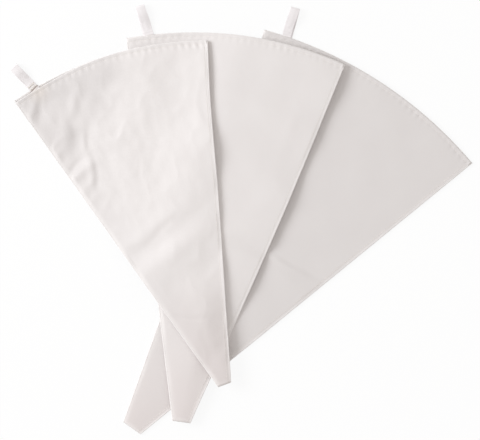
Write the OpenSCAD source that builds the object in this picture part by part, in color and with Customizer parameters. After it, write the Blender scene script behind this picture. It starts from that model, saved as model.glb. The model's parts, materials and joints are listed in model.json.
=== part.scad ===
// Set of three piping bags in coated cotton: small, medium and large, laid flat on a table as a fan.
// Each bag is a cone of two cloth panels, sewn along both sides, with a hemmed mouth, a cut tip and a
// hanging loop. The large bag lies on the table, the medium one over it, and the small one on top.
// The origin is the centre of the fan, on the table. +Z is up and +Y runs from the tips to the mouths.

/* [Small bag] */
// Mean length of the two side seams, from mouth to tip
small_length = 449; // [400:1:480]
// Width of the mouth, laid flat
small_mouth = 264; // [220:2:290]
// Width of the cut tip, laid flat
small_tip = 18; // [12:1:30]
// Middle of the tip, to the right of the fan's centre
small_tip_x = 34.5; // [24.5:0.5:44.5]
// Middle of the tip, beyond the fan's centre
small_tip_y = -75.5; // [-85.5:0.5:-65.5]
// Turn of the bag, anticlockwise
small_turn = 19.7; // [16:0.1:24]
// How much further from the tip the mouth reaches at its left corner, and less at its right
small_mouth_lean = 6; // [-10:0.5:10]
// How far the mouth bows out between its corners
small_mouth_bow = 1.5; // [0:0.5:6]
// Distance of the hanging loop from the left corner, along the mouth
small_loop_inset = 30; // [26:1:50]
// Further turn of the hanging loop, anticlockwise
small_loop_turn = 11.5; // [0:0.5:20]

/* [Medium bag] */
// Mean length of the two side seams, from mouth to tip
medium_length = 502; // [450:1:530]
// Width of the mouth, laid flat
medium_mouth = 284; // [240:2:310]
// Width of the cut tip, laid flat
medium_tip = 24; // [16:1:36]
// Middle of the tip, to the right of the fan's centre
medium_tip_x = -21.5; // [-31.5:0.5:-11.5]
// Middle of the tip, beyond the fan's centre
medium_tip_y = -124; // [-134:0.5:-114]
// Turn of the bag, anticlockwise
medium_turn = -8.1; // [-11:0.1:-4]
// How much further from the tip the mouth reaches at its left corner, and less at its right
medium_mouth_lean = -3; // [-10:0.5:10]
// How far the mouth bows out between its corners
medium_mouth_bow = 2.5; // [0:0.5:6]
// Distance of the hanging loop from the left corner, along the mouth
medium_loop_inset = 28; // [26:1:50]
// Further turn of the hanging loop, anticlockwise
medium_loop_turn = 11.5; // [0:0.5:20]

/* [Large bag] */
// Mean length of the two side seams, from mouth to tip
large_length = 548; // [500:1:580]
// Width of the mouth, laid flat
large_mouth = 320; // [270:2:350]
// Width of the cut tip, laid flat
large_tip = 28; // [20:1:40]
// Middle of the tip, to the right of the fan's centre
large_tip_x = -86; // [-96:0.5:-76]
// Middle of the tip, beyond the fan's centre
large_tip_y = -132.5; // [-142.5:0.5:-122.5]
// Turn of the bag, anticlockwise
large_turn = -35.3; // [-40:0.1:-32]
// How much further from the tip the mouth reaches at its left corner, and less at its right
large_mouth_lean = -7.5; // [-10:0.5:10]
// How far the mouth bows out between its corners
large_mouth_bow = 2.5; // [0:0.5:6]
// Distance of the hanging loop from the left corner, along the mouth
large_loop_inset = 31; // [26:1:50]
// Further turn of the hanging loop, anticlockwise
large_loop_turn = 7.5; // [0:0.5:20]

/* [Cloth] */
// Thickness of the coated cotton
cloth = 0.6; // [0.4:0.1:0.8]
// Height of a bag at its crown, from the table to the top of the front panel
bag_height = 8; // [7:0.2:12]
// Height of a bag at its side seams
edge_height = 2.8; // [2.6:0.1:3.6]
// Share of the crown that is left at the tip
tip_fullness = 0.75; // [0.6:0.05:0.9]
// Share of the length over which the crown reaches its full height
full_from = 0.4; // [0.3:0.05:0.6]
// Room between one bag and the bag that lies on it
layer_gap = 0.6; // [0.5:0.1:2]
// Distance over which an upper bag sags from the edge of a lower one to the table
drape_reach = 95; // [85:5:120]
// Room between the front panel and the side seams, so that the mouth can open
front_gap = 0.4; // [0.3:0.1:0.8]

/* [Hem and seams] */
// Width of the hem round the mouth
hem_width = 7; // [6:0.5:10]
// Thickness of the folded hem
hem_thickness = 1.2; // [1:0.1:1.3]
// Width of the rolled seam along each side
seam_width = 2.4; // [1.8:0.2:3.4]
// Thickness of the sewing thread
thread = 0.5; // [0.3:0.05:0.7]
// Distance of the hem's stitching from the mouth
hem_stitch_inset = 5; // [3:0.5:6]
// Distance of the side stitching from the side's edge
side_stitch_inset = 5; // [4.5:0.5:7]

/* [Hanging loop] */
// Width of the tape
tape_width = 12; // [8:0.5:14]
// Thickness of the tape
tape = 0.6; // [0.4:0.05:0.7]
// Length of the loop, from its fold line at the hem to its far end
loop_length = 37; // [28:1:50]
// Width of the eye in the loop
eye_width = 5.4; // [5:0.2:8]
// Length of flat tape between the loop's fold line and its eye
eye_offset = 2; // [1:0.5:5]
// Slope at which the loop's upper run climbs beside the eye
eye_slope = 35; // [25:5:60]
// Room between the mouth and the loop's fold line
fold_gap = 0.9; // [0.8:0.1:1.5]
// Bars of thread that sew the tape down
tack_bars = 3; // [2:1:4]

/* [Hidden] */
// A bag is a list: side length, mouth width, tip width, tip's place, turn, the mouth's lean and bow, and
// the loop's inset and turn.
small = [
    small_length, small_mouth, small_tip, [small_tip_x, small_tip_y], small_turn,
    small_mouth_lean, small_mouth_bow, small_loop_inset, small_loop_turn
];
medium = [
    medium_length, medium_mouth, medium_tip, [medium_tip_x, medium_tip_y], medium_turn,
    medium_mouth_lean, medium_mouth_bow, medium_loop_inset, medium_loop_turn
];
large = [
    large_length, large_mouth, large_tip, [large_tip_x, large_tip_y], large_turn,
    large_mouth_lean, large_mouth_bow, large_loop_inset, large_loop_turn
];

// Steps of the cloth's surface, across a bag and along it
across_steps = 14;
along_steps = 22;
// Each bag in the fan raises what lies on it by this much
layer_height = bag_height + layer_gap;
// Room outside a lower bag's outline over which an upper bag is still at its full height
drape_margin = 6;
// Threads lie this far off the cloth, so that they share no volume with it
thread_clearance = 0.05;
thread_sides = 6;

cotton = [0.93, 0.91, 0.89];
hem_cotton = [0.91, 0.88, 0.86];
seam_cotton = [0.95, 0.93, 0.9];
thread_white = [0.97, 0.96, 0.93];
tape_white = [0.92, 0.9, 0.9];

// ---- Outline of a bag: a sector about an apex just beyond its tip, with a mouth that leans and bows ----

function side_length(bag) = bag[0];
function mouth_width(bag) = bag[1];
function tip_width(bag) = bag[2];
function tip_place(bag) = bag[3];
function bag_turn(bag) = bag[4];
function mouth_lean(bag) = bag[5];
function mouth_bow(bag) = bag[6];
function loop_inset(bag) = bag[7];
function loop_turn(bag) = bag[8];

function half_angle(bag) = asin((mouth_width(bag) - tip_width(bag)) / (2 * side_length(bag)));
function tip_radius(bag) = tip_width(bag) / (2 * sin(half_angle(bag)));
function rim_radius(bag, angle) =
    let (off_axis = angle / half_angle(bag))
    tip_radius(bag) + side_length(bag) + mouth_lean(bag) * off_axis
    + mouth_bow(bag) * (1 - off_axis * off_axis);
function direction(angle) = [-sin(angle), cos(angle)];
function apex(bag) = tip_place(bag) - tip_radius(bag) * cos(half_angle(bag)) * direction(bag_turn(bag));
function flat_point(bag, angle, radius) = apex(bag) + radius * direction(bag_turn(bag) + angle);

// Radius at a share of the way from the straight cut of the tip to the arc of the mouth
function radius_at(bag, share, angle) =
    let (cut = tip_radius(bag) * cos(half_angle(bag)) / cos(angle))
    cut + share * (rim_radius(bag, angle) - cut);

// Angle from the bag's axis of a line that runs at a nearly fixed distance inside the side's edge
function angle_inside(bag, share, inset) =
    half_angle(bag) - asin(inset / (tip_radius(bag) + share * side_length(bag)));

// ---- Heights: how full a bag is, and how it sags over the bags beneath ----

function ease(t) =
    let (held = min(1, max(0, t)))
    held * held * (3 - 2 * held);

// 1 over a bag and close round it, easing to 0 where a bag that lies across it has sagged to the table
function cover(bag, place) =
    let (
        from_apex = place - apex(bag),
        along = from_apex * direction(bag_turn(bag)),
        aside = from_apex * direction(bag_turn(bag) + 90),
        nearest = max(-half_angle(bag), min(half_angle(bag), atan2(aside, along))),
        beyond_side = abs(aside) * cos(half_angle(bag)) - along * sin(half_angle(bag)),
        beyond_mouth = norm(from_apex) - rim_radius(bag, nearest),
        beyond_tip = tip_radius(bag) * cos(half_angle(bag)) - along,
        fall = function(distance) 1 - ease((distance - drape_margin) / drape_reach)
    )
    fall(beyond_side) * fall(beyond_mouth) * fall(beyond_tip);

// Height of the underside of a bag above the table
function lie(bag, place) =
    bag == large ? 0
    : bag == medium ? layer_height * cover(large, place)
    : layer_height * (cover(large, place) + cover(medium, place));

// Height of the front panel's top above the bag's underside
function fullness(share) = tip_fullness + (1 - tip_fullness) * ease(share / full_from);
function crown(bag, share, angle) =
    let (off_axis = angle / half_angle(bag))
    edge_height + (bag_height - edge_height) * (1 - off_axis * off_axis) * fullness(share);

// ---- Sheets of cloth ----

function reversed(list) = [for (step = [len(list) - 1 : -1 : 0]) list[step]];

// One point of a sheet, given its place in the outline and its height above the bag's underside
function cloth_point(bag, share, angle, height) =
    let (place = flat_point(bag, angle, radius_at(bag, share, angle)))
    [place.x, place.y, lie(bag, place) + height];

// A closed sheet between two grids of points, each a list of rows
module sheet(low, high) {
    rows = len(low);
    columns = len(low[0]);
    top = rows * columns;
    at = function(row, column) row * columns + column;
    outline = concat(
        [for (column = [0 : columns - 2]) at(0, column)],
        [for (row = [0 : rows - 2]) at(row, columns - 1)],
        [for (column = [columns - 1 : -1 : 1]) at(rows - 1, column)],
        [for (row = [rows - 1 : -1 : 1]) at(row, 0)]
    );
    polyhedron(
        points = concat([for (row = low) each row], [for (row = high) each row]),
        faces = concat(
            [for (row = [0 : rows - 2], column = [0 : columns - 2])
                each [
                    [at(row, column), at(row, column + 1), at(row + 1, column + 1)],
                    [at(row, column), at(row + 1, column + 1), at(row + 1, column)],
                    [top + at(row, column), top + at(row + 1, column + 1), top + at(row, column + 1)],
                    [top + at(row, column), top + at(row + 1, column), top + at(row + 1, column + 1)]
                ]],
            [for (step = [0 : len(outline) - 1])
                let (here = outline[step], next = outline[(step + 1) % len(outline)])
                each [[here, top + here, top + next], [here, top + next, next]]]
        )
    );
}

// Grid of a bag's cloth between two shares of its length, at a height(share, angle) above its underside.
// Its second and last but one columns run along the lines of the side stitching.
function cloth_grid(bag, from, to, steps, inset, height) =
    [for (row = [0 : steps])
        let (
            share = from + (to - from) * row / steps,
            edge = angle_inside(bag, share, inset),
            sewn = angle_inside(bag, share, side_stitch_inset),
            between = [for (step = [0 : across_steps]) sewn * (1 - 2 * step / across_steps)]
        )
        [for (angle = [edge, each between, -edge]) cloth_point(bag, share, angle, height(share, angle))]];

function hem_share(bag) = 1 - hem_width / side_length(bag);

// The back of a bag lies level on what is beneath it, and the front is raised to the crown
function back_grid(bag, from, to, steps, height) =
    cloth_grid(bag, from, to, steps, seam_width, function(share, angle) height);
function front_grid(bag, from, to, steps, depth) =
    cloth_grid(bag, from, to, steps, seam_width + front_gap,
        function(share, angle) crown(bag, share, angle) - depth);

module back_cloth(bag, from, to, steps, thickness)
    sheet(back_grid(bag, from, to, steps, 0), back_grid(bag, from, to, steps, thickness));

module front_cloth(bag, from, to, steps, thickness)
    sheet(front_grid(bag, from, to, steps, thickness), front_grid(bag, from, to, steps, 0));

module back_panel(bag) color(cotton) back_cloth(bag, 0, hem_share(bag), along_steps, cloth);
module back_hem(bag) color(hem_cotton) back_cloth(bag, hem_share(bag), 1, 1, hem_thickness);
module front_panel(bag) color(cotton) front_cloth(bag, 0, hem_share(bag), along_steps, cloth);
module front_hem(bag) color(hem_cotton) front_cloth(bag, hem_share(bag), 1, 1, hem_thickness);

// Rolled seam along one side: side is 1 for the left and -1 for the right. Its section is a list of
// inset, lowest height and highest height, as shares of the seam's width and the edge's height.
module side_seam(bag, side) {
    section = [[0, 0.3, 0.7], [0.35, 0, 1], [1, 0, 0.95]];
    grid = function(level)
        [for (row = [0 : along_steps])
            let (share = row / along_steps)
            [for (step = side > 0 ? section : reversed(section))
                cloth_point(bag, share, side * angle_inside(bag, share, step[0] * seam_width),
                    step[level] * edge_height)]];
    color(seam_cotton) sheet(grid(1), grid(2));
}

// ---- Stitching ----

// A run of thread along a list of points
module thread_run(path) {
    rings = [for (step = [0 : len(path) - 1])
        let (
            heading = path[min(step + 1, len(path) - 1)] - path[max(step - 1, 0)],
            along = heading / norm(heading),
            aside = cross(along, [0, 0, 1]) / norm(cross(along, [0, 0, 1])),
            up = cross(aside, along)
        )
        [for (corner = [0 : thread_sides - 1])
            let (angle = 360 * corner / thread_sides)
            path[step] + thread / 2 * (cos(angle) * aside + sin(angle) * up)]];
    last = (len(path) - 1) * thread_sides;
    polyhedron(
        points = [for (ring = rings) each ring],
        faces = concat(
            [[for (corner = [thread_sides - 1 : -1 : 0]) corner]],
            [[for (corner = [0 : thread_sides - 1]) last + corner]],
            [for (ring = [0 : len(path) - 2], corner = [0 : thread_sides - 1])
                let (
                    here = ring * thread_sides + corner,
                    next = ring * thread_sides + (corner + 1) % thread_sides
                )
                each [[here, next + thread_sides, here + thread_sides], [here, next, next + thread_sides]]]
        )
    );
}

// A run of thread that lies on the cloth along a list of its points
module thread_on(path)
    color(thread_white)
        translate([0, 0, thread / 2 * cos(180 / thread_sides) + thread_clearance])
            thread_run(path);

// Points across a hem, at the stitching's distance from the mouth. The hem's grid has two rows.
function hem_stitch_path(rows) =
    [for (column = [1 : len(rows[0]) - 2])
        rows[1][column] + hem_stitch_inset / hem_width * (rows[0][column] - rows[1][column])];

// Point at a place along a path, counted in steps from its start
function along(path, place) =
    let (step = min(floor(place), len(path) - 2))
    path[step] + (place - step) * (path[step + 1] - path[step]);

// The back hem's stitching is broken where the loop's tab lies on the hem
module back_stitching(bag) {
    path = hem_stitch_path(back_grid(bag, hem_share(bag), 1, 1, hem_thickness));
    sewn = angle_inside(bag, 1 - hem_stitch_inset / side_length(bag), side_stitch_inset);
    place = function(angle) across_steps * (1 - angle / sewn) / 2;
    left = place(tab_angle(bag) + tab_reach(bag));
    right = place(tab_angle(bag) - tab_reach(bag));
    thread_on([for (step = [0 : ceil(left) - 1]) path[step], along(path, left)]);
    thread_on([along(path, right), for (step = [floor(right) + 1 : across_steps]) path[step]]);
}

module front_stitching(bag)
    thread_on(hem_stitch_path(front_grid(bag, hem_share(bag), 1, 1, 0)));

// Row of stitches down the right side of the front panel
module side_stitching(bag)
    thread_on([for (row = front_grid(bag, 0, hem_share(bag), along_steps, 0)) row[len(row) - 2]]);

// ---- Hanging loop: a doubled tape that folds up about a line just beyond the hem ----

// Distance from the first bar of the tack to the last
tack_reach = hem_width * 0.6;

// The tape's two layers, lying on each other
tab_thickness = 2 * tape;
loop_end_radius = eye_width / 2 + tape;

// Angle about the apex of a distance along the mouth, measured from an angle
function mouth_angle(bag, angle, distance) = distance / rim_radius(bag, angle) * 180 / PI;
function loop_angle(bag) = half_angle(bag) - mouth_angle(bag, half_angle(bag), loop_inset(bag));
function loop_heading(bag) = bag_turn(bag) + loop_angle(bag) + loop_turn(bag);

// Turn of the mouth's edge at the loop, anticlockwise, away from an arc about the apex
function mouth_slope(bag) =
    let (
        off_axis = loop_angle(bag) / half_angle(bag),
        fall = 2 * mouth_bow(bag) * off_axis - mouth_lean(bag)
    )
    atan(fall / (half_angle(bag) * PI / 180 * rim_radius(bag, loop_angle(bag))));
function fold_offset(bag) =
    tab_thickness / 2 + fold_gap + tape_width / 2 * abs(sin(loop_turn(bag) - mouth_slope(bag)));

// Middle of the line about which the loop folds up
function fold_place(bag) =
    flat_point(bag, loop_angle(bag), rim_radius(bag, loop_angle(bag)) + fold_offset(bag));
function fold_height(bag) = lie(bag, fold_place(bag)) + hem_thickness + tab_thickness / 2;

// Angle by which the loop droops, so that its far end lies on the table
function droop(bag) = asin((fold_height(bag) - tab_thickness / 2) / loop_length);

module at_fold(bag)
    translate([fold_place(bag).x, fold_place(bag).y, fold_height(bag)])
        rotate([0, 0, loop_heading(bag)])
            children();

// Outline of the loop from the side, with x running away from the bag. The lower run of the tape is
// level. The upper run lies on it as far as the eye, climbs beside the eye, and then runs level to the
// round far end.
module loop_profile() {
    low = -tab_thickness / 2;
    high = low + 2 * loop_end_radius;
    end = [loop_length - loop_end_radius, low + loop_end_radius];
    fork = eye_offset + tab_thickness / 2;
    // Distance along x from the outer face of the climbing tape to its inner face
    shift = tape / sin(eye_slope);
    along_climb = function(height) fork + (height + low) / tan(eye_slope);
    difference() {
        union() {
            circle(r = -low, $fn = 48);
            translate(end) circle(r = loop_end_radius, $fn = 96);
            polygon([
                [0, low], [end.x, low], [end.x, high], [along_climb(high), high], [fork, -low], [0, -low]
            ]);
        }
        translate(end) circle(r = loop_end_radius - tape, $fn = 96);
        polygon([
            [along_climb(low + tape) + shift, low + tape],
            [end.x, low + tape],
            [end.x, high - tape],
            [along_climb(high - tape) + shift, high - tape]
        ]);
    }
}

module hanging_loop(bag)
    color(tape_white)
        at_fold(bag)
            rotate([-droop(bag), 0, 0])
                rotate([90, 0, 90])
                    translate([0, 0, -tape_width / 2])
                        linear_extrude(tape_width)
                            loop_profile();

// The tab stops short of the fold line, so that the loop's round root can turn
tab_end = tab_thickness / 2 + fold_gap / 2;
function tab_length(bag) = fold_offset(bag) + hem_width - tab_end;

// Angle of the tab's middle where the hem's stitching would cross it, and half the break in the stitching
function tab_angle(bag) =
    loop_angle(bag)
    - mouth_angle(bag, loop_angle(bag), (fold_offset(bag) + hem_stitch_inset) * tan(loop_turn(bag)));
function tab_reach(bag) =
    mouth_angle(bag, loop_angle(bag), tape_width / 2 / cos(loop_turn(bag)) + 2 * thread);

module loop_tab(bag)
    color(tape_white)
        at_fold(bag)
            translate([-tape_width / 2, -tab_end - tab_length(bag), -tab_thickness / 2])
                cube([tape_width, tab_length(bag), tab_thickness]);

// Bars of thread across the tape, from just outside the mouth to the middle of the hem
module bar_tack(bag)
    color(thread_white)
        at_fold(bag)
            for (bar = [0 : tack_bars - 1])
                translate([
                    0,
                    -tab_end - thread - tack_reach * bar / (tack_bars - 1),
                    tab_thickness / 2 + thread / 2 + thread_clearance
                ])
                    rotate([0, 90, 0])
                        cylinder(d = thread, h = tape_width - 2 * tape, center = true, $fn = 24);

// ---- Nodes ----

back_panel(large);  // large_back_panel
back_hem(large);  // large_back_hem
side_seam(large, 1);  // large_left_seam
side_seam(large, -1);  // large_right_seam
back_stitching(large);  // large_back_stitching
loop_tab(large);  // large_loop_tab
bar_tack(large);  // large_bar_tack
front_panel(large);  // large_front_panel
front_hem(large);  // large_front_hem
front_stitching(large);  // large_front_stitching
side_stitching(large);  // large_side_stitching
hanging_loop(large);  // large_hanging_loop

back_panel(medium);  // medium_back_panel
back_hem(medium);  // medium_back_hem
side_seam(medium, 1);  // medium_left_seam
side_seam(medium, -1);  // medium_right_seam
back_stitching(medium);  // medium_back_stitching
loop_tab(medium);  // medium_loop_tab
bar_tack(medium);  // medium_bar_tack
front_panel(medium);  // medium_front_panel
front_hem(medium);  // medium_front_hem
front_stitching(medium);  // medium_front_stitching
side_stitching(medium);  // medium_side_stitching
hanging_loop(medium);  // medium_hanging_loop

back_panel(small);  // small_back_panel
back_hem(small);  // small_back_hem
side_seam(small, 1);  // small_left_seam
side_seam(small, -1);  // small_right_seam
back_stitching(small);  // small_back_stitching
loop_tab(small);  // small_loop_tab
bar_tack(small);  // small_bar_tack
front_panel(small);  // small_front_panel
front_hem(small);  // small_front_hem
front_stitching(small);  // small_front_stitching
side_stitching(small);  // small_side_stitching
hanging_loop(small);  // small_hanging_loop
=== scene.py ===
import json
import math

import bmesh
import bpy
from mathutils import Matrix, Vector, noise


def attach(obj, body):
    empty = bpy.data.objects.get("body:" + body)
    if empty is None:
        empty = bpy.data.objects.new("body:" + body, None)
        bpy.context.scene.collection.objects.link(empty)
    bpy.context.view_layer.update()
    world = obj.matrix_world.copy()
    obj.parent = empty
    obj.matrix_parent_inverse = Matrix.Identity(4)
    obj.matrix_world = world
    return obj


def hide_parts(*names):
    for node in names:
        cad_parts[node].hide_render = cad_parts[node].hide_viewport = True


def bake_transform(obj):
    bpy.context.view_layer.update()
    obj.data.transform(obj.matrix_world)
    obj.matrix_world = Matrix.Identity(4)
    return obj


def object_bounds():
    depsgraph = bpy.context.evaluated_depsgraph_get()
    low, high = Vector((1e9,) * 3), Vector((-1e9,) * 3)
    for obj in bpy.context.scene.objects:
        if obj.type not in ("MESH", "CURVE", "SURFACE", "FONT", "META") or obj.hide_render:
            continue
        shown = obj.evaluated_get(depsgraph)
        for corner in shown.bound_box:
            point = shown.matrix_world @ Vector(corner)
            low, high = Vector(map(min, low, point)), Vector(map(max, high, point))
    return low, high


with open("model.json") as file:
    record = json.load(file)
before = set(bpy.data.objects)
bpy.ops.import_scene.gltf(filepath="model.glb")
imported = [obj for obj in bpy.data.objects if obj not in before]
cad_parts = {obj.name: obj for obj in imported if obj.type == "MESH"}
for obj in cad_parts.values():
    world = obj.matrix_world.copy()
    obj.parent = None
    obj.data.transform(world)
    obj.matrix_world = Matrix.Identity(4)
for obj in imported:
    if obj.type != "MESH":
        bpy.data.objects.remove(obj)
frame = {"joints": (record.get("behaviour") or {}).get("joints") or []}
cad_low, cad_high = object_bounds()

# ---- Camera ----
# It looks straight down on the fan from well above, through a long lens, so that the three bags show
# nearly as they were cut.
view_middle = Vector((0.0543, 0.1372, 0.008))
view_width = 0.621
lens_mm = 200
film_mm = 36
camera = bpy.data.objects.new("camera", bpy.data.cameras.new("camera"))
camera.data.lens = lens_mm
camera.data.sensor_width = film_mm
camera.location = view_middle + Vector((0, 0, view_width * lens_mm / film_mm))
bpy.context.scene.collection.objects.link(camera)
bpy.context.scene.camera = camera
bpy.context.scene.view_settings.view_transform = "Standard"

# ---- Table ----
# A plain white table top, well wider than the fan. It looks white from any side, and still takes the
# bags' soft shadow.


class Signal:
    """A value that changes over a surface. Its arithmetic adds Math nodes."""

    def __init__(self, nodes, socket):
        self.nodes = nodes
        self.socket = socket

    def out(self, name):
        """Another output of the same node."""
        return Signal(self.nodes, self.socket.node.outputs[name])

    def __add__(self, other):
        return self.nodes.maths("ADD", self, other)

    def __sub__(self, other):
        return self.nodes.maths("SUBTRACT", self, other)

    def __rsub__(self, other):
        return self.nodes.maths("SUBTRACT", other, self)

    def __mul__(self, other):
        return self.nodes.maths("MULTIPLY", self, other)

    def __truediv__(self, other):
        return self.nodes.maths("DIVIDE", self, other)

    def __rtruediv__(self, other):
        return self.nodes.maths("DIVIDE", other, self)

    __radd__ = __add__
    __rmul__ = __mul__

    def wave(self, period):
        """A sine wave along the value."""
        return self.nodes.maths("SINE", self * (2 * math.pi / period))

    def eased(self, start, end, before=0.0, after=1.0):
        """Changes smoothly, from before to after, as the value goes from start to end."""
        ends = {"Value": self, "From Min": start, "From Max": end, "To Min": before, "To Max": after}
        return self.nodes.node("ShaderNodeMapRange", {"interpolation_type": "SMOOTHSTEP"}, ends)


class Nodes:
    """The nodes of a finish, or of the light from all round."""

    def __init__(self, owner):
        owner.use_nodes = True
        self.tree = owner.node_tree

    def plug(self, value, socket):
        """Links a signal to a socket, or sets the socket to a plain value."""
        if isinstance(value, Signal):
            self.tree.links.new(value.socket, socket)
        else:
            socket.default_value = value

    def node(self, kind, settings, inputs, out=0):
        node = self.tree.nodes.new(kind)
        for name, value in settings.items():
            setattr(node, name, value)
        for name, value in inputs.items():
            self.plug(value, node.inputs[name])
        return Signal(self, node.outputs[out])

    def maths(self, operation, *values):
        return self.node("ShaderNodeMath", {"operation": operation}, dict(enumerate(values)))

    def mix(self, share, one, other):
        """A colour between two others. A Mix node takes its colours at its inputs 6 and 7."""
        return self.node("ShaderNodeMix", {"data_type": "RGBA"}, {0: share, 6: one, 7: other}, "Result")

    def looked_at(self):
        """1 where it is seen, directly or in something bright, and 0 where it only lights the scene."""
        path = self.node("ShaderNodeLightPath", {}, {}, "Is Camera Ray")
        seen = self.maths("MAXIMUM", path, path.out("Is Glossy Ray"))
        return self.maths("MAXIMUM", seen, path.out("Is Transmission Ray"))


class Finish(Nodes):
    """A material. What is the same all over it is set on its shader when it is made."""

    def __init__(self, name, **constants):
        self.material = bpy.data.materials.new(name)
        super().__init__(self.material)
        self.shader = self.tree.nodes["Principled BSDF"]
        self.surface(**constants)

    def surface(self, **values):
        """Gives the shader its colour, roughness and so on, each as a plain value or as a signal."""
        for name, value in values.items():
            self.plug(value, self.shader.inputs[name.replace("_", " ")])

    def flat_place(self):
        """The place in the flat cut of the piece, with its two coordinates."""
        place = self.node("ShaderNodeTexCoord", {}, {}, "UV")
        x = self.node("ShaderNodeSeparateXYZ", {}, {0: place})
        return place, x, x.out("Y")

    def mottle(self, place, scale, detail=2.0):
        """Soft noise between 0 and 1."""
        return self.node("ShaderNodeTexNoise", {}, {"Vector": place, "Scale": scale, "Detail": detail})

    def wear_and_painted_light(self):
        """How abraded the piece is, as its mesh says; on the tape this is painted shade, and on the seam
        rolls partly a painted highlight.
        """
        return self.node("ShaderNodeAttribute", {"attribute_name": "edge_wear_and_painted_light"}, {}, "Fac")

    def bump(self, height, strength, depth):
        """Raised threads, for the shader's normal."""
        inputs = {"Strength": strength, "Distance": depth, "Height": height}
        return self.node("ShaderNodeBump", {}, inputs)


def paint(red, green, blue):
    return (red, green, blue, 1)


table_reach = 3
table_drop = 0.0004
shadow_share = 0.12
white_table = Finish("white_table", Roughness=0.6)
grain = white_table.node("ShaderNodeTexNoise", {}, {"Scale": 9.0, "Detail": 2.0})
white_table.surface(Base_Color=white_table.mix(grain, paint(0.95, 0.95, 0.95), paint(0.98, 0.98, 0.98)))
glow = white_table.node("ShaderNodeEmission", {}, {"Color": paint(1, 1, 1), "Strength": 1.0})
shown = white_table.node("ShaderNodeMixShader", {}, {
    0: white_table.looked_at() * (1 - shadow_share),
    1: Signal(white_table, white_table.shader.outputs[0]),
    2: glow,
})
white_table.plug(shown, white_table.tree.nodes["Material Output"].inputs["Surface"])

made = bmesh.new()
bmesh.ops.create_grid(made, x_segments=6, y_segments=6, size=table_reach)
bmesh.ops.translate(made, verts=made.verts, vec=(view_middle.x, view_middle.y, cad_low.z - table_drop))
table_mesh = bpy.data.meshes.new("table")
made.to_mesh(table_mesh)
made.free()
table_mesh.materials.append(white_table.material)
table = bpy.data.objects.new("table", table_mesh)
bpy.context.scene.collection.objects.link(table)

# ---- Light ----
# A broad, even light from all round, and one soft lamp low on the left, which shows the lie of the
# cloth and leaves a narrow shadow beside each raised edge.
even_light = 0.65
even_tint = paint(1, 0.965, 0.94)
lamp_watts = 126
lamp_size = 2.4
lamp_tint = (0.975, 1, 1.03)
lamp_place = Vector((-3.66, 0.95, 2.4))
world = bpy.data.worlds.new("even_light")
bpy.context.scene.world = world
all_round = Nodes(world)
background = all_round.tree.nodes["Background"]
seen = all_round.looked_at()
all_round.plug(all_round.mix(seen, even_tint, paint(1, 1, 1)), background.inputs["Color"])
all_round.plug(even_light + seen * (1 - even_light), background.inputs["Strength"])
lamp = bpy.data.objects.new("soft_lamp", bpy.data.lights.new("soft_lamp", "AREA"))
lamp.data.shape = "DISK"
lamp.data.size = lamp_size
lamp.data.energy = lamp_watts
lamp.data.color = lamp_tint
lamp.location = view_middle + lamp_place
lamp.rotation_euler = lamp_place.to_track_quat("Z", "Y").to_euler()
bpy.context.scene.collection.objects.link(lamp)

# ---- Back walls ----
# Each bag is two walls of plain-woven cotton, coated inside so that it holds fat and cream. A wall is
# cut as a sector about a point just beyond the tip, and the cutter's hand shows at the mouth, which
# leans and bows a few millimetres. The back wall lies on what is beneath the bag.
cloth_thick = 0.0006

# How much a bag raises what lies on it. That stays level for the margin past the bag's edge, and then
# sags to the table over the reach.
layer_height = 0.0086
drape_margin = 0.006
drape_reach = 0.095

# A bag's tip is firm: its edge curls and strays fully only past this share of the length
firm_tip = 0.15


def ease(t):
    """Goes smoothly from 0 to 1 as t does, and stays level outside that."""
    held = min(1, max(0, t))
    return held * held * (3 - 2 * held)


def hill(distance, reach):
    """1 at no distance, falling away to nothing well past the reach."""
    return math.exp(-(distance / reach) ** 2)


def heading(turn):
    """The direction up the table, turned to the left."""
    return Vector((-math.sin(turn), math.cos(turn)))


def joint_line(name):
    """A joint's place, and how far its line is turned to the left from the X axis."""
    joint = next(joint for joint in frame["joints"] if joint["name"] == name)
    return Vector(joint["pos_m"]), math.atan2(joint["axis"][1], joint["axis"][0])


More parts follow.
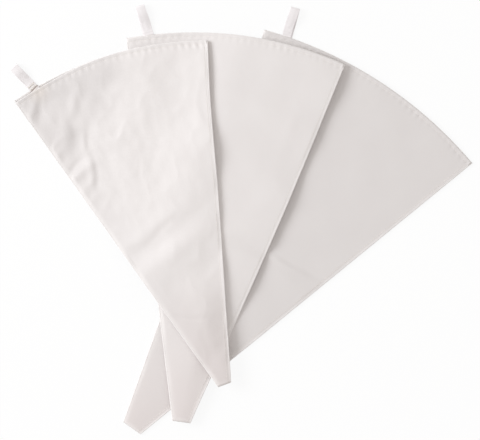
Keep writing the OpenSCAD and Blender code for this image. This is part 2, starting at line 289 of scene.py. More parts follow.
class Bag:
    """The cut of one bag. An angle is taken from the bag's axis, with the left seam on the plus side."""

    def __init__(self, size, length, mouth, tip, lean, bow, seed):
        tip_place, self.turn = joint_line(size + "_mouth_opening")
        self.size = size
        self.length = length
        self.mouth = mouth
        self.lean = lean
        self.bow = bow
        self.seed = seed
        self.half = math.asin((mouth - tip) / 2 / length)
        self.tip_radius = tip / 2 / math.sin(self.half)
        self.cut = self.tip_radius * math.cos(self.half)
        self.apex = tip_place.xy - self.cut * heading(self.turn)
        self.under = []
        self.edge_sag = 0
        self.edge_curls = []
        self.edge_sways = []

    def rim(self, angle):
        """Radius of the mouth, which leans towards one seam and bows out in the middle."""
        off_axis = angle / self.half
        return self.tip_radius + self.length + self.lean * off_axis + self.bow * (1 - off_axis ** 2)

    def share(self, angle, radius):
        """0 at the cut of the tip and 1 at the mouth."""
        cut = self.cut / math.cos(angle)
        return (radius - cut) / (self.rim(angle) - cut)

    def inset(self, angle, radius):
        """How far a place is from the nearer seam's outer edge."""
        return radius * math.sin(self.half - abs(angle))

    def spread(self, a, b, inset, rim):
        """Angle and radius at a place in a grid that fills the wall, left to right, and from the tip to
        the radius that rim gives."""
        side = self.half - math.asin(inset / (self.tip_radius + b * self.length))
        angle = side * (1 - 2 * a)
        cut = self.cut / math.cos(angle)
        return angle, cut + b * (rim(angle) - cut)

    def flat(self, angle, radius):
        """The place in the flat cut. Each bag has its own part of the cloth."""
        return Vector((self.seed - radius * math.sin(angle), radius * math.cos(angle)))

    def between_seams(self, angle):
        return min(self.half, max(-self.half, angle))

    def nearest(self, place):
        """The angle in the bag that is nearest to that of a place, and the place's radius."""
        off = place - self.apex
        radius = off.length
        angle = math.atan2(-off.x, off.y) - self.turn
        angle += self.sway(self.between_seams(angle), radius) / radius
        return self.between_seams(angle), radius

    def cover(self, place):
        """1 over the bag, easing to 0 where a bag that lies across it has sagged to the table."""
        off = place - self.apex
        along = off.dot(heading(self.turn))
        aside = abs(off.dot(heading(self.turn - math.pi / 2)))
        angle, radius = self.nearest(place)
        beyond = (
            aside * math.cos(self.half) - along * math.sin(self.half),
            radius - self.rim(angle),
            self.cut - along,
        )
        return math.prod(1 - ease((distance - drape_margin) / drape_reach) for distance in beyond)

    def wander(self, angle, radius, everywhere, hills):
        """How far the right half is off its flat cut: most at the edge, and not at the firm tip."""
        share = self.share(angle, radius)
        off = everywhere + sum(size * hill(share - at, reach) for at, size, reach in hills)
        return off * ease(-angle / self.half) * ease(share / firm_tip)

    def sway(self, angle, radius):
        """How far the right half strays outwards, so that its edge isn't quite straight."""
        return self.wander(angle, radius, 0, self.edge_sways)

    def lift(self, angle, radius):
        """How far the right half rises or sags: its edge waves a little along its length."""
        return self.wander(angle, radius, self.edge_sag, self.edge_curls)

    def raised(self, place):
        """How far the bag raises what lies on it at a place."""
        angle, radius = self.nearest(place)
        return (layer_height + self.lift(angle, min(self.rim(angle), radius))) * self.cover(place)

    def put(self, angle, radius, height):
        """The place of a point of the cloth at a height above what the bag lies on."""
        place = self.apex + radius * heading(self.turn + angle - self.sway(angle, radius) / radius)
        lie = sum(bag.raised(place) for bag in self.under)
        return Vector((place.x, place.y, lie + self.lift(angle, radius) + height))


large = Bag("large", length=0.548, mouth=0.320, tip=0.028, lean=-0.0075, bow=0.0025, seed=0.3)
medium = Bag("medium", length=0.502, mouth=0.284, tip=0.024, lean=-0.003, bow=0.0025, seed=0.9)
small = Bag("small", length=0.449, mouth=0.264, tip=0.018, lean=0.006, bow=0.0015, seed=1.5)
medium.under = [large]
small.under = [large, medium]
bags = [large, medium, small]

# How far the right edge of a bag sags, and where along it, how high and over what share it curls up
medium.edge_sag = -0.0012
medium.edge_curls = [
    (0.94, 0.0052, 0.08), (0.8, 0.0032, 0.06), (0.62, 0.0042, 0.07), (0.5, 0.003, 0.07),
    (0.478, -0.003, 0.02), (0.39, 0.002, 0.06), (0.25, -0.003, 0.1),
]
small.edge_sag = -0.0008
small.edge_curls = [
    (0.92, 0.002, 0.07), (0.69, 0.0042, 0.07), (0.44, -0.0016, 0.06), (0.3, 0.0008, 0.05),
]

# Where along the right edge it strays from a straight line, how far out and over what share
medium.edge_sways = [(0.6, 0.0043, 0.42)]
small.edge_sways = [(0.82, -0.0024, 0.18)]

# Where painted shade darkens the small bag in a wide and a narrow spot, and where it is browner by its
# loop: right of the axis and up from the point of the sector, and how far each spreads
wide_shade_place = Vector((-0.034, 0.441))
wide_shade_reach = 0.062
narrow_shade_place = Vector((-0.081, 0.4))
narrow_shade_reach = 0.026
brown_spot_place = Vector((-0.1, 0.4705))
brown_spot_reach = 0.022

# Where its painted shade starts and is full, up from the point of the sector and leftwards, with the axis
# at 0 and the left seam at 1: all of it, and the darker painted band along the mouth
painted_shade_up = (0.33, 0.46)
painted_shade_left = (-0.1, 0.95)
band_up = (0.435, 0.462)
band_left = (-0.2, 0.05)

# Where the pink of a tip starts to fade and is gone, and the pale colour of rubbed cloth, which on the seam
# rolls is partly a painted highlight
pink_up = (0.04, 0.21)
rubbed_and_highlit = paint(0.96, 0.935, 0.92)


def near_spot(finish, place, bag, spot, reach):
    """1 at a spot of the flat cut, easing to 0 at its reach."""
    apart = finish.node("ShaderNodeVectorMath", {"operation": "DISTANCE"},
                        {0: place, 1: (bag.seed + spot.x, spot.y, 0)}, "Value")
    return apart.eased(0.0, reach, before=1.0, after=0.0)


def woven_cotton(bag, part, faded, pitch, thread_depth):
    """Plain weave in two near whites, pinker towards the tip, with painted shade on the small bag, and
    paler along abraded edges, which on the seam rolls is partly a painted highlight."""
    cotton = Finish(f"{bag.size}_{part}_cotton",
                    Specular_IOR_Level=0.3, Sheen_Weight=0.06, Sheen_Roughness=0.45)
    place, x, y = cotton.flat_place()

    def shade(red, green, blue, tone=bag.tone * faded):
        return paint(red * tone, green * tone, blue * tone)

    def slubs(stretch):
        """Thick and thin places along the yarns that run one way."""
        way = cotton.node("ShaderNodeMapping", {}, {"Vector": place, "Scale": stretch})
        return cotton.mottle(way, 1.0, 1.0)

    light = shade(1.02, 0.983, 0.97)
    dark = shade(0.97, 0.93, 0.917)
    blush = shade(0.93, 0.855, 0.84, bag.tone * faded * bag.tip_tone)
    blotch = cotton.mottle(place, 26.0, 3.0)
    speck = cotton.mottle(place, 420.0)
    slub = slubs((2200, 60, 1))
    cross = slubs((60, 2200, 1))
    weave = x.wave(pitch) * y.wave(pitch)
    colour = cotton.mix(blotch, light, dark)
    # Painted shade: the small bag greyed towards its upper left and in two spots, a darker painted band
    # along its mouth, and a browner spot by its loop
    if bag.handled:
        left = (bag.seed - x) / (y * math.tan(bag.half))
        painted_shade_share = left.eased(*painted_shade_left) * y.eased(*painted_shade_up, before=0.6)
        painted_shade_share = painted_shade_share * (bag.handled + (blotch - 0.5) * 0.4)
        wide_shade_spot = near_spot(cotton, place, bag, wide_shade_place, wide_shade_reach) * 0.62
        narrow_shade_spot = near_spot(cotton, place, bag, narrow_shade_place, narrow_shade_reach)
        brown_spot = near_spot(cotton, place, bag, brown_spot_place, brown_spot_reach)
        band = y.eased(*band_up) * left.eased(*band_left)
        # Mixes in the painted shade, a grey
        colour = cotton.mix(painted_shade_share + (wide_shade_spot + narrow_shade_spot) * 0.6, colour, shade(0.8, 0.765, 0.755))
        # The darker painted band along the mouth
        colour = cotton.mix(band * 0.45, colour, shade(0.7, 0.672, 0.664))
        # Browner by the loop
        colour = cotton.mix(brown_spot, colour, shade(0.76, 0.7, 0.655))
    colour = cotton.mix(speck * 0.2 + slub * 0.12 + cross * 0.12, colour, dark)
    colour = cotton.mix(y.eased(*pink_up, before=1.0, after=0.0) * 0.75, colour, blush)
    # Paler where abraded; on the seam rolls this is partly a painted highlight
    colour = cotton.mix(cotton.wear_and_painted_light() * (speck + 0.2), colour, rubbed_and_highlit)
    threads = weave * 0.5 + slub * 0.5 + cross * 0.5
    cotton.surface(
        Base_Color=colour,
        Roughness=0.58 + blotch * 0.12 + speck * 0.1,
        Normal=cotton.bump(threads, 0.35, thread_depth),
    )
    return cotton


# How light each bag's cloth is, and its tip beside that, and how strong the painted shade on its upper left
# is. The small bag's cloth is the whitest, and the only one with painted shade.
cloths = [(large, 0.78, 1.06, 0), (medium, 0.835, 1.0, 0), (small, 0.865, 0.93, 0.95)]
for bag, tone, tip_tone, handled in cloths:
    bag.tone = tone
    bag.tip_tone = tip_tone
    bag.handled = handled
    bag.cotton = woven_cotton(bag, "coated", faded=1, pitch=0.0009, thread_depth=0.00008)


def weave_grid(shape, columns, rows):
    """A grid, moved into place: shape turns a place in it, 0 to 1 both ways, into a point, its place in the
    flat cut and how abraded it is, which on the tape is painted shade and on the seam rolls partly a
    painted highlight."""
    made = bmesh.new()
    flat_cut = made.loops.layers.uv.new("flat_cut")
    wear_and_light_layer = made.verts.layers.float.new("edge_wear_and_painted_light")
    bmesh.ops.create_grid(made, x_segments=columns, y_segments=rows, size=0.5)
    flat = {}
    for vert in made.verts:
        vert.co, flat[vert], vert[wear_and_light_layer] = shape(vert.co.x + 0.5, vert.co.y + 0.5)
    for face in made.faces:
        for loop in face.loops:
            loop[flat_cut].uv = flat[loop.vert]
    return made


def finish_piece(name, made, finish, thick=0):
    """Makes a piece of a finished bmesh. A sheet gets half of its thickness on each side."""
    mesh = bpy.data.meshes.new(name)
    made.to_mesh(mesh)
    made.free()
    mesh.shade_smooth()
    mesh.materials.append(finish.material)
    piece = bpy.data.objects.new(name, mesh)
    bpy.context.scene.collection.objects.link(piece)
    if thick:
        wall = piece.modifiers.new("cloth", "SOLIDIFY")
        wall.thickness = thick
        wall.offset = 0
    return piece


# The walls end inside the seams, this far in from their outer edges. The back wall is worn near its
# rim, over this share of its length.
tuck = 0.0012
rim_wear_share = 0.01
for bag in bags:

    def back_wall(a, b):
        angle, radius = bag.spread(a, b, tuck, lambda angle: bag.rim(angle) - cloth_thick)
        wear_and_painted_light = hill(1 - b, rim_wear_share)
        return bag.put(angle, radius, cloth_thick / 2), bag.flat(angle, radius), wear_and_painted_light

    made = weave_grid(back_wall, columns=60, rows=100)
    piece = finish_piece(bag.size + "_back_cloth", made, bag.cotton, cloth_thick)
    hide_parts(bag.size + "_back_panel")
    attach(piece, bag.size + "_bag")
    bag.back_cloth = piece

# ---- Back hems ----
# The mouth's edge of the back wall is turned in once, over 7 mm, so that the raw edge is inside. The
# fold is round, two thicknesses of cloth high, and shows just beyond the front wall.
hem_width = 0.007
fold_radius = cloth_thick / 2
fold_arc = math.pi * fold_radius
fold_wear_reach = 0.0015
fold_rows = 16


def turned_in(b):
    """How far back from the rim, and how far from the outer layer, the turned cloth is at a share of it.
    The steps are shortest round the fold."""
    run = b * b * (fold_arc + hem_width - cloth_thick)
    if run < fold_arc:
        turn = run / fold_radius
        return cloth_thick - fold_radius * math.sin(turn), fold_radius * (1 - math.cos(turn))
    return cloth_thick + run - fold_arc, cloth_thick


for bag in bags:
    bag.hem_cotton = woven_cotton(bag, "hem", faded=0.985, pitch=0.0009, thread_depth=0.00009)

    def back_fold(a, b):
        back, inward = turned_in(b)
        angle, radius = bag.spread(a, 1, tuck, lambda angle: bag.rim(angle) - back)
        wear_and_painted_light = hill(back, fold_wear_reach)
        return bag.put(angle, radius, cloth_thick / 2 + inward), bag.flat(angle, radius), wear_and_painted_light

    made = weave_grid(back_fold, columns=100, rows=fold_rows)
    piece = finish_piece(bag.size + "_back_fold", made, bag.hem_cotton, cloth_thick)
    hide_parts(bag.size + "_back_hem")
    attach(piece, bag.size + "_bag")
    bag.back_fold = piece

# ---- Hanging loops ----
# Cotton tape, 12 mm wide, doubled to hang the bag up to dry. Its two ends lie on the inside of the back
# hem. It is laid out from a line just outside the rim, and has painted shade across it where it bends.
tape_width = 0.012
tape_thick = 0.0006
loop_length = 0.037

# The round bend at the loop's outer end: its radius to the tape's outside, and to its middle
bend_outside = 0.0033
bend_radius = bend_outside - tape_thick / 2

# The upper leg lies on the lower one up to here, and then rises to the bend over this length
legs_part = 0.0045
legs_rise = 0.024

# The tape's slight curve across, the ripple in its upper leg, the flat stretch by the fold that has
# neither, and the rounding of its woven edges
cup_height = 0.0002
ripple_height = 0.0008
flat_root = 0.006
selvedge_round = 0.00018

# Lines of painted shade across the tape: how far out from the fold they are, how broad and how strong
shade_lines = [(-0.0036, 0.0008, 1), (0.0005, 0.0004, 0.5), (0.0034, 0.0003, 0.2)]

for bag in bags:
    bag.fold_place, bag.fold_turn = joint_line(bag.size + "_loop_fold")
    angle, radius = bag.nearest(bag.fold_place.xy)
    bag.tab_length = radius - bag.rim(angle) + hem_width


def tape_finish():
    """Woven tape: ribs that slant from its middle to both sides, a mottled darkening, and painted shade
    where it bends.
    """
    tape = Finish("cotton_tape", Specular_IOR_Level=0.3, Sheen_Weight=0.1, Sheen_Roughness=0.4)
    place, x, y = tape.flat_place()
    ribs = (y + tape.maths("ABSOLUTE", x)).wave(0.0011)
    yarns = x.wave(0.0007)
    fuzz = tape.mottle(place, 700.0)
    tape_darkening = tape.mottle(place, 60.0)
    colour = tape.mix(tape_darkening, paint(0.97, 0.945, 0.95), paint(0.87, 0.835, 0.845))
    colour = tape.mix(ribs * 0.1 + fuzz * 0.15, colour, paint(0.75, 0.7, 0.71))
    # Painted shade, dark brown, where the tape bends
    colour = tape.mix(tape.wear_and_painted_light() * (fuzz + 0.4), colour, paint(0.22, 0.15, 0.12))
    threads = ribs * 0.5 + yarns * 0.3 + fuzz * 0.3
    tape.surface(Base_Color=colour, Roughness=0.6 + fuzz * 0.2, Normal=tape.bump(threads, 0.5, 0.00012))
    return tape


cotton_tape = tape_finish()


def at_fold(bag, aside, out, up):
    """A point by the loop's fold line: aside along the line, out away from the bag, and up from it."""
    across = heading(bag.fold_turn - math.pi / 2)
    spot = bag.fold_place.xy + aside * across + out * heading(bag.fold_turn)
    droop = (bag.fold_place.z - tape_thick) / loop_length
    return Vector((spot.x, spot.y, bag.fold_place.z + up - droop * max(0, out)))


def tape_run(bag, b):
    """How far out and up the tape's middle is, from the lower end round to the upper end."""
    bend_out = loop_length - bend_outside
    straight = bag.tab_length + bend_out
    bend = math.pi * bend_radius
    run = b * (2 * straight + bend)
    if run < straight:
        return run - bag.tab_length, -tape_thick / 2
    if run < straight + bend:
        turn = (run - straight) / bend_radius
        up = bend_radius * (1 - math.cos(turn)) - tape_thick / 2
        return bend_out + bend_radius * math.sin(turn), up
    out = bend_out - (run - straight - bend)
    raised = 2 * bend_radius - tape_thick
    return out, tape_thick / 2 + raised * ease((out - legs_part) / legs_rise)


# How far aside each loop's upper leg lies, and how strong the painted shade across the tape is. The leg is
# fully aside past this share of the tape beyond the bend.
skew_over = 0.3
for bag, skew, tape_darkening in ((large, -0.0016, 0.15), (medium, 0.0016, 0.2), (small, 0.0005, 1)):

    def tape_strip(a, b):
        out, up = tape_run(bag, b)
        aside = (a - 0.5) * tape_width
        past_bend = max(0, b - 0.5)
        cup = cup_height * math.cos((a - 0.5) * 2 * math.pi)
        ripple = ripple_height * past_bend * noise.noise(Vector((a * 2.2, out * 170, bag.seed * 9)))
        curved = (cup + ripple) * ease(out / flat_root)
        point = at_fold(bag, aside + skew * ease(past_bend / skew_over), out, up + curved)
        flat = Vector((aside, b * 2 * (loop_length + bag.tab_length)))
        # Painted shade across the tape
        shaded_here = max(strength * hill(out - at, reach) for at, reach, strength in shade_lines)
        return point, flat, tape_darkening * shaded_here

    made = weave_grid(tape_strip, columns=10, rows=160)
    piece = finish_piece(bag.size + "_loop_tape", made, cotton_tape, tape_thick)
    edge = piece.modifiers.new("selvedge", "BEVEL")
    edge.width = selvedge_round
    edge.segments = 2
    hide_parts(bag.size + "_hanging_loop", bag.size + "_loop_tab")
    at_fold(bag, 0, -0.001, 0)
    at_fold(bag, 0, 0.001, 0)
    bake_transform(piece)

# ---- Bar tacks ----
# Both ends of the tape are sewn to the back hem with cream thread: a solid bar of short stitches side by
# side, and two zigzag rows nearer the tape's ends. The small bag's bar shows beyond its rims, and one
# more, just beyond the fold line, holds the two legs of its loop on each other.
thread_thick = 0.0005

# A stitch is longer than its ends are apart, because it runs down into its holes. Its middle is this
# far above the cloth's face.
hole_overlap = 1.12
thread_up = 0.0001

# The zigzag rows: how far out they lie from the fold, how near they come to the tape's edges, how
# many stitches they have and how far those lean
zigzag_rows = (-0.0048, -0.0058)
zigzag_margin = 0.0009
zigzag_count = 12
zigzag_lean = 0.00035

# The solid bars: how near they come to the tape's edges, and their stitches' number and slant
bar_margin = 0.0007
bar_count = 25
bar_slant = 0.0002

# How far out each bag's solid bar starts and ends, and the small bag's bar through both legs
tack_bars = [(large, -0.0042, -0.0022), (medium, -0.0056, -0.0034), (small, -0.0027, -0.0005)]
leg_bar = (0.0014, 0.0031)


def thread_finish():
    """Twisted cream thread, a little uneven."""
    thread = Finish("sewing_thread", Specular_IOR_Level=0.4, Sheen_Weight=0.1)
    place, x, y = thread.flat_place()
    twist = (x + y * 2.5).wave(0.34)
    fuzz = thread.mottle(place, 14.0)
    colour = thread.mix(twist * 0.25 + fuzz * 0.5, paint(0.97, 0.93, 0.88), paint(0.87, 0.82, 0.77))
    thread.surface(Base_Color=colour, Roughness=0.45 + fuzz * 0.2, Normal=thread.bump(twist, 0.6, 0.00008))
    return thread


sewing_thread = thread_finish()


def sew(name, stitches):
    """A row of stitches, each a spindle of thread between two points of the cloth."""
    made = bmesh.new()
    made.loops.layers.uv.new("thread_turn")
    for start, end in stitches:
        along = end - start
        spindle = Matrix.Diagonal((thread_thick, thread_thick, along.length * hole_overlap, 1))
        turn = along.to_track_quat("Z", "X").to_matrix().to_4x4()
        bmesh.ops.create_uvsphere(made, u_segments=6, v_segments=5, radius=0.5, calc_uvs=True,
                                  matrix=Matrix.Translation((start + end) / 2) @ turn @ spindle)
    return finish_piece(name, made, sewing_thread)


def zigzag(bag, out, up):
    """One row across the tape, of stitches that lean to and fro."""
    reach = tape_width / 2 - zigzag_margin
    for step in range(zigzag_count):
        here = -reach + 2 * reach * step / zigzag_count
        there = -reach + 2 * reach * (step + 1) / zigzag_count
        lean = zigzag_lean if step % 2 else -zigzag_lean
        yield at_fold(bag, here, out - lean, up), at_fold(bag, there, out + lean, up)


def solid_bar(bag, near, far, up):
    """A bar of stitches that run out and back, close side by side across the tape."""
    for step in range(bar_count):
        aside = (tape_width - 2 * bar_margin) * ((step + 0.5) / bar_count - 0.5)
        yield at_fold(bag, aside, near, up), at_fold(bag, aside + bar_slant, far, up)


tack_up = tape_thick + thread_up
for bag, near, far in tack_bars:
    stitches = [*solid_bar(bag, near, far, tack_up)]
    for out in zigzag_rows:
        stitches += zigzag(bag, out, tack_up)
    tack = sew(bag.size + "_tack", stitches)
    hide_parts(bag.size + "_bar_tack")
    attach(tack, bag.size + "_bag")
leg_tack = sew("small_leg_tack", solid_bar(small, *leg_bar, tack_up))
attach(leg_tack, "small_loop")

# ---- Back hem stitching ----
# A row of lockstitch, 5 mm inside the rim, holds the turned-in edge of the back wall. It stops on each
# side of the tape.
stitch_inset = 0.005
stitch_pitch = 0.0036
stitch_gap = 0.0009

# A row round a mouth ends where a row along a side seam would run, and it keeps clear of the tape
side_stitch_inset = 0.005
tape_clearance = 0.001


def stitch_places(bag, keep=lambda angle: True):
    """Angles of the two ends of each stitch round a mouth."""
    radius = bag.rim(0) - stitch_inset
    reach = bag.half - side_stitch_inset / radius
    count = round(2 * reach * radius / stitch_pitch)
    for step in range(count):
        start = reach - 2 * reach * step / count
        end = start - (2 * reach / count) * (1 - stitch_gap / stitch_pitch)
        if keep(start) and keep(end):
            yield start, end


for bag in bags:
    tape_angle, radius = bag.nearest(at_fold(bag, 0, hem_width - stitch_inset - bag.tab_length, 0).xy)
    clear = (tape_width / 2 + tape_clearance) / radius
    piece = sew(bag.size + "_back_stitches", [
        [bag.put(angle, bag.rim(angle) - stitch_inset, 2 * cloth_thick + thread_up) for angle in ends]
        for ends in stitch_places(bag, lambda angle: abs(angle - tape_angle) > clear)])
    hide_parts(bag.size + "_back_stitching")
    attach(piece, bag.size + "_bag")
    bag.back_stitches = piece

# ---- Side seams ----
# The two walls' side edges are rolled together and sewn, which leaves a firm ridge, 2.4 mm wide and pressed
# flat on top, down each side of the bag. It is paler than the cloth, partly rubbed by squeezing hands and
# partly a painted highlight.
seam_width = 0.0024
seam_height = 0.0028
seam_girth = 0.0085

# A roll is this much thicker and thinner along its length, and a little narrower than its seam. It is
# pressed lower near the mouth: by how much, and the shares of its length where that starts and that it
# takes.
swell_share = 0.1
width_kept = 0.98
pressed_share = 0.4
pressed_from = 0.988
pressed_over = 0.01

# How pale it is, partly rubbed and partly painted highlight: everywhere, in patches, and towards the tip
# over a share of its length
rub_and_highlight_everywhere = 0.5
rub_and_highlight_patches = 0.25
rub_and_highlight_at_tip = 0.4
tip_rub_and_highlight_over = 0.4


def seam_roll(bag, side):
    """A closed roll: a grid bent round until its sides meet, with both ends filled."""

    def rolled(a, b):
        turn = 2 * math.pi * a
        along = b * bag.length
        swell = 1 + swell_share * noise.noise(Vector((along * 160, side * 9, bag.seed)))
        inset = seam_width / 2 * (1 - math.cos(turn) * (2 - swell) * width_kept)
        rise = math.sin(turn)
        if rise > 0:
            rise = math.sqrt(rise)
        pressed = 1 - pressed_share * ease((b - pressed_from) / pressed_over)
        height = seam_height / 2 * (1 + rise * swell) * pressed
        angle, radius = bag.spread(0 if side > 0 else 1, b, inset, bag.rim)
        flat = bag.flat(angle, radius) + Vector((a * seam_girth, 0))
        patchy = rub_and_highlight_patches * noise.noise(Vector((along * 60, side * 5, bag.seed)))
        # How pale the roll is: partly rubbed, partly a painted highlight
        wear_and_painted_light = rub_and_highlight_everywhere + patchy + rub_and_highlight_at_tip * ease(1 - b / tip_rub_and_highlight_over)
        return bag.put(angle, radius, height), flat, wear_and_painted_light

    made = weave_grid(rolled, columns=14, rows=180)
    bmesh.ops.remove_doubles(made, verts=made.verts, dist=1e-6)
    bmesh.ops.holes_fill(made, edges=[edge for edge in made.edges if edge.is_boundary], sides=0)
    bmesh.ops.recalc_face_normals(made, faces=made.faces)
    return made


for bag in bags:
    seam_cotton = woven_cotton(bag, "seam", faded=0.97, pitch=0.0008, thread_depth=0.00008)
    for side, name in ((1, "left"), (-1, "right")):
        piece = finish_piece(f"{bag.size}_{name}_roll", seam_roll(bag, side), seam_cotton)
        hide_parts(f"{bag.size}_{name}_seam")
        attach(piece, bag.size + "_bag")

# ---- Front walls ----
# The same cut of coated cotton, held a little full by the stiff coating, with lumps and creases from being
# folded and handled.

# The middle of a full bag is this high. Each has sunk, and keeps a share of its rise above the seams.
# The tip is flatter still, up to this share of the length.
full_height = 0.008
crown_kept = {"large": 0.5, "medium": 0.55, "small": 0.62}
tip_fullness = 0.28
full_from = 0.4

# The wall dips beside its seams, and is smooth there: its lumps grow from this far in
seam_dip = 0.00025
seam_dip_reach = 0.003
smooth_inset = 0.001
smooth_reach = 0.005

# How far the front rim lies behind the back rim: everywhere, and more towards the left corner, with
# where that starts and over what share of the half
rim_step = 0.0005
corner_gap = {"large": (0.0003, 0.7, 0.3), "medium": (0.0008, 0.5, 0.3), "small": (0.0028, 0.05, 0.7)}

# How high each front wall's lumps are, in millimetres: broad ones, sharper folds and small ones
lumps = {"large": (0.5, 0.2, 0.05), "medium": (0.8, 0.3, 0.1), "small": (1.3, 1.4, 0.5)}

# Where the lumps are most worked by hands, in millimetres right of the axis and up from the tip
worked_place = Vector((-60, 360))
worked_reach = 120

# How far the dents wander from their straight lines, and over what length, in millimetres. The seed
# makes them wander the same way each time that the script runs.
dent_drift = 3.5
drift_span = 26
drift_seed = 1
noise.seed_set(drift_seed)

# Dents and raised folds of each front wall, in millimetres: right of the axis, up from the tip, the
# lean from a line across the bag in degrees, the length, the width and the depth
dents = {
    "large": [
        (48, 289, 5, 84, 8, -0.8), (50, 295, 5, 74, 9, 0.35), (50, 279, 5, 96, 32, -1.3),
        (55, 420, 20, 90, 40, 0.5),
    ],
    "medium": [
        (60, 330, 70, 90, 22, 0.4), (78, 380, 75, 120, 16, -0.3), (20, 200, 60, 60, 18, 0.4),
        (-20, 330, 30, 60, 25, 0.4),
    ],
    "small": [
        (-115, 418, 50, 36, 12, -1.4), (-104, 409, 50, 38, 16, 1.1), (-85, 378, 78, 52, 16, -1.3),
        (-73, 375, 78, 44, 14, 1.1), (-65, 403, 62, 36, 15, -0.9), (-53, 399, 62, 34, 15, 0.9),
        (-66, 357, 70, 30, 8, -0.6), (-60, 355, 70, 28, 8, 0.4), (-71, 316, 80, 50, 9, -0.9),
        (-76, 320, 60, 46, 26, -0.9), (-64, 314, 80, 46, 10, 0.7), (-101, 353, 30, 22, 7, -0.7),
        (-100, 343, 30, 20, 6, 0.5), (-95, 333, 32, 24, 7, -0.7), (-92, 322, 30, 22, 6, 0.5),
        (-80, 300, 34, 26, 8, -0.6), (-80, 288, 30, 20, 5, 0.4), (-106, 368, 34, 20, 9, 0.7),
        (-85, 319, 20, 54, 13, -1.7), (-90, 332, 20, 48, 12, 0.9), (-60, 416, 74, 110, 60, -2.0),
        (-18, 404, 80, 100, 60, 1.4), (-15, 203, 16, 112, 24, 2.3), (-2, 184, 18, 90, 22, -1.2),
        (-24, 220, 18, 80, 20, -0.8), (-12, 214, 24, 60, 9, 0.7), (-23, 270, 177, 60, 26, 0.5),
        (6, 150, 5, 80, 34, 0.6), (-9, 94, 157, 80, 4, 0.35), (-7, 99, 157, 80, 8, -0.3),
        (-16, 352, 170, 90, 40, -0.9), (30, 380, 100, 50, 20, 0.4),
    ],
}

# How deep the hem's stitching puckers the cloth, how often, and how far in from the rim
pucker_depth = {"large": 0.0005, "medium": 0.0005, "small": 0.0011}
pucker_pitch = 0.0095
pucker_inset = 0.006
pucker_reach = 0.0042
puckered_width = 0.02
stitch_groove = 0.0003
stitch_groove_reach = 0.001

# The grid's steps across the wall and along it, and how far in from its sides and tip it is rubbed,
# and how pale
wall_column = 0.0016
wall_row = 0.0026
rubbed_reach = 0.004
rubbed_share = 0.7


def front_rim(bag, angle):
    """Radius of the front wall's mouth."""
    gap, start, reach = corner_gap[bag.size]
    return bag.rim(angle) - rim_step - gap * ease((angle / bag.half - start) / reach)


def lump_height(bag, x, y, drift):
    """Height at a place of lumps about 48, 29 and 14 mm across, all in millimetres."""
    worked = 0.4 + 0.6 * hill(math.hypot(x - worked_place.x, y - worked_place.y), worked_reach)
    broad, folded, fine = lumps[bag.size]
    height = broad * noise.noise(Vector((x / 48, y / 48, bag.seed * 7)))
    fold = noise.noise(Vector((x / 27, y / 31, bag.seed * 11)) + 0.5 * drift)
    height += worked * folded * (0.2 - abs(fold))
    return height + worked * fine * noise.noise(Vector((x / 12, y / 15, bag.seed * 13)))


def dent_depth(bag, x, y):
    """Depth of the dents and folds at a place, in millimetres."""
    depth = 0
    for right, up, lean, long, wide, deep in dents[bag.size]:
        lean = math.radians(lean)
        off_x = x - right
        off_y = y - up
        along = off_x * math.cos(lean) + off_y * math.sin(lean)
        aside = off_y * math.cos(lean) - off_x * math.sin(lean)
        if abs(along) < long and abs(aside) < 1.5 * wide:
            depth += deep * hill(along, long / 2) * hill(aside, wide / 2)
    return depth


def hem_depth(bag, angle, radius):
    """How far the stitching draws the hem in, with short puckers across it."""
    back = front_rim(bag, angle) - radius
    if back >= puckered_width:
        return 0
    arc = angle * radius
    uneven = 0.6 + 0.7 * noise.noise(Vector((arc * 26, 3, bag.seed)))
    shift = 0.9 * noise.noise(Vector((arc * 45, 8, bag.seed)))
    pucker = 0.5 - 0.5 * math.cos(2 * math.pi * arc / pucker_pitch + shift)
    drawn = pucker_depth[bag.size] * max(0, uneven) * pucker * hill(back - pucker_inset, pucker_reach)
    return drawn + stitch_groove * hill(back - stitch_inset, stitch_groove_reach)


def relief(bag, angle, radius):
    """Height that lumps, dents and puckers add to the wall's smooth fullness."""
    x = -radius * math.sin(angle) * 1000
    y = (radius * math.cos(angle) - bag.cut) * 1000
    drift = noise.noise_vector(Vector((x / drift_span, y / drift_span, bag.seed * 5)))
    height = lump_height(bag, x, y, drift)
    height -= dent_depth(bag, x + dent_drift * drift.x, y + dent_drift * drift.y)
    return height / 1000 - hem_depth(bag, angle, radius)


def front_height(bag, angle, radius):
    """Height of the front wall's upper face above what the bag lies on."""
    off_axis = angle / bag.half
    inset = bag.inset(angle, radius)
    full = tip_fullness + (1 - tip_fullness) * ease(bag.share(angle, radius) / full_from)
    crown = (full_height - seam_height) * crown_kept[bag.size] * (1 - off_axis * off_axis) * full
    dip = seam_dip * hill(inset - tuck, seam_dip_reach)
    lumpy = relief(bag, angle, radius) * ease((inset - smooth_inset) / smooth_reach)
    return seam_height + crown - dip + lumpy


def open_with_mouth(piece, bag):
    """Bakes the piece's place into its mesh."""
    bag.put(bag.half, bag.rim(bag.half), 0)
    bag.put(0, bag.rim(0), 0)
    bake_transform(piece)
    for vert in piece.data.vertices:
        across = bag.nearest(vert.co.xy)[0] / bag.half
        1 - across * across


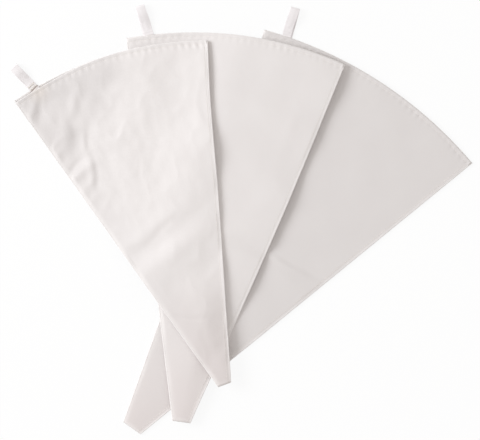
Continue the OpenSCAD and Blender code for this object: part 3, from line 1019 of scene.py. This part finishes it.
for bag in bags:

    def front_wall(a, b):
        """A point of the wall. The rows lie closer together towards the mouth."""
        share = 1 - (1 - b) ** 1.25
        angle, radius = bag.spread(a, share, tuck, lambda angle: front_rim(bag, angle) - cloth_thick)
        at_seam = hill(bag.inset(angle, radius), rubbed_reach)
        wear_and_painted_light = max(at_seam, hill(radius - bag.cut, rubbed_reach)) * rubbed_share
        height = front_height(bag, angle, radius) - cloth_thick / 2
        return bag.put(angle, radius, height), bag.flat(angle, radius), wear_and_painted_light

    made = weave_grid(front_wall, columns=round(bag.mouth / wall_column), rows=round(bag.length / wall_row))
    piece = finish_piece(bag.size + "_front_cloth", made, bag.cotton, cloth_thick)
    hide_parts(bag.size + "_front_panel")
    open_with_mouth(piece, bag)
    bag.front_cloth = piece

# ---- Front hems ----
# The front wall's edge is turned in like the back one's. Its stitching draws the cloth into short
# puckers along the mouth.
for bag in bags:

    def front_fold(a, b):
        back, inward = turned_in(b)
        angle, radius = bag.spread(a, 1, tuck, lambda angle: front_rim(bag, angle) - back)
        height = front_height(bag, angle, radius) - cloth_thick / 2 - inward
        return bag.put(angle, radius, height), bag.flat(angle, radius), hill(back, fold_wear_reach)

    made = weave_grid(front_fold, columns=round(bag.mouth / wall_column), rows=fold_rows)
    piece = finish_piece(bag.size + "_front_fold", made, bag.hem_cotton, cloth_thick)
    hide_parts(bag.size + "_front_hem")
    open_with_mouth(piece, bag)
    bag.front_fold = piece

# ---- Front stitching ----
# Lockstitch in the same cream thread: a row round the front of the mouth, and a row down the right side
# that holds the seam's turnings flat.

# The thread sinks deeper into the front wall. A stitch of the side row starts this far into its pitch.
sunk_thread_up = 0.00005
stitch_start = 0.1
for bag in bags:

    def on_front(angle, radius):
        return bag.put(angle, radius, front_height(bag, angle, radius) + sunk_thread_up)

    hem_row = sew(bag.size + "_front_stitches", [
        [on_front(angle, front_rim(bag, angle) - stitch_inset) for angle in ends]
        for ends in stitch_places(bag)])
    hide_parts(bag.size + "_front_stitching")
    open_with_mouth(hem_row, bag)
    stitches = []
    for step in range(round((bag.rim(-bag.half) - bag.tip_radius - hem_width) / stitch_pitch)):
        ends = []
        for place in (step + stitch_start, step + 1 - stitch_gap / stitch_pitch):
            radius = bag.tip_radius + place * stitch_pitch
            ends.append(on_front(math.asin(side_stitch_inset / radius) - bag.half, radius))
        stitches.append(ends)
    side_row = sew(bag.size + "_side_stitches", stitches)
    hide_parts(bag.size + "_side_stitching")
    open_with_mouth(side_row, bag)

    # Works out what a bag rests on: the front wall of the last bag laid beneath it, or the table.
    beneath = [lower.front_cloth for lower in bag.under[-1:]] or ["table"]
    bag.rim(0) - bag.cut
    bag.rim(0) - bag.cut
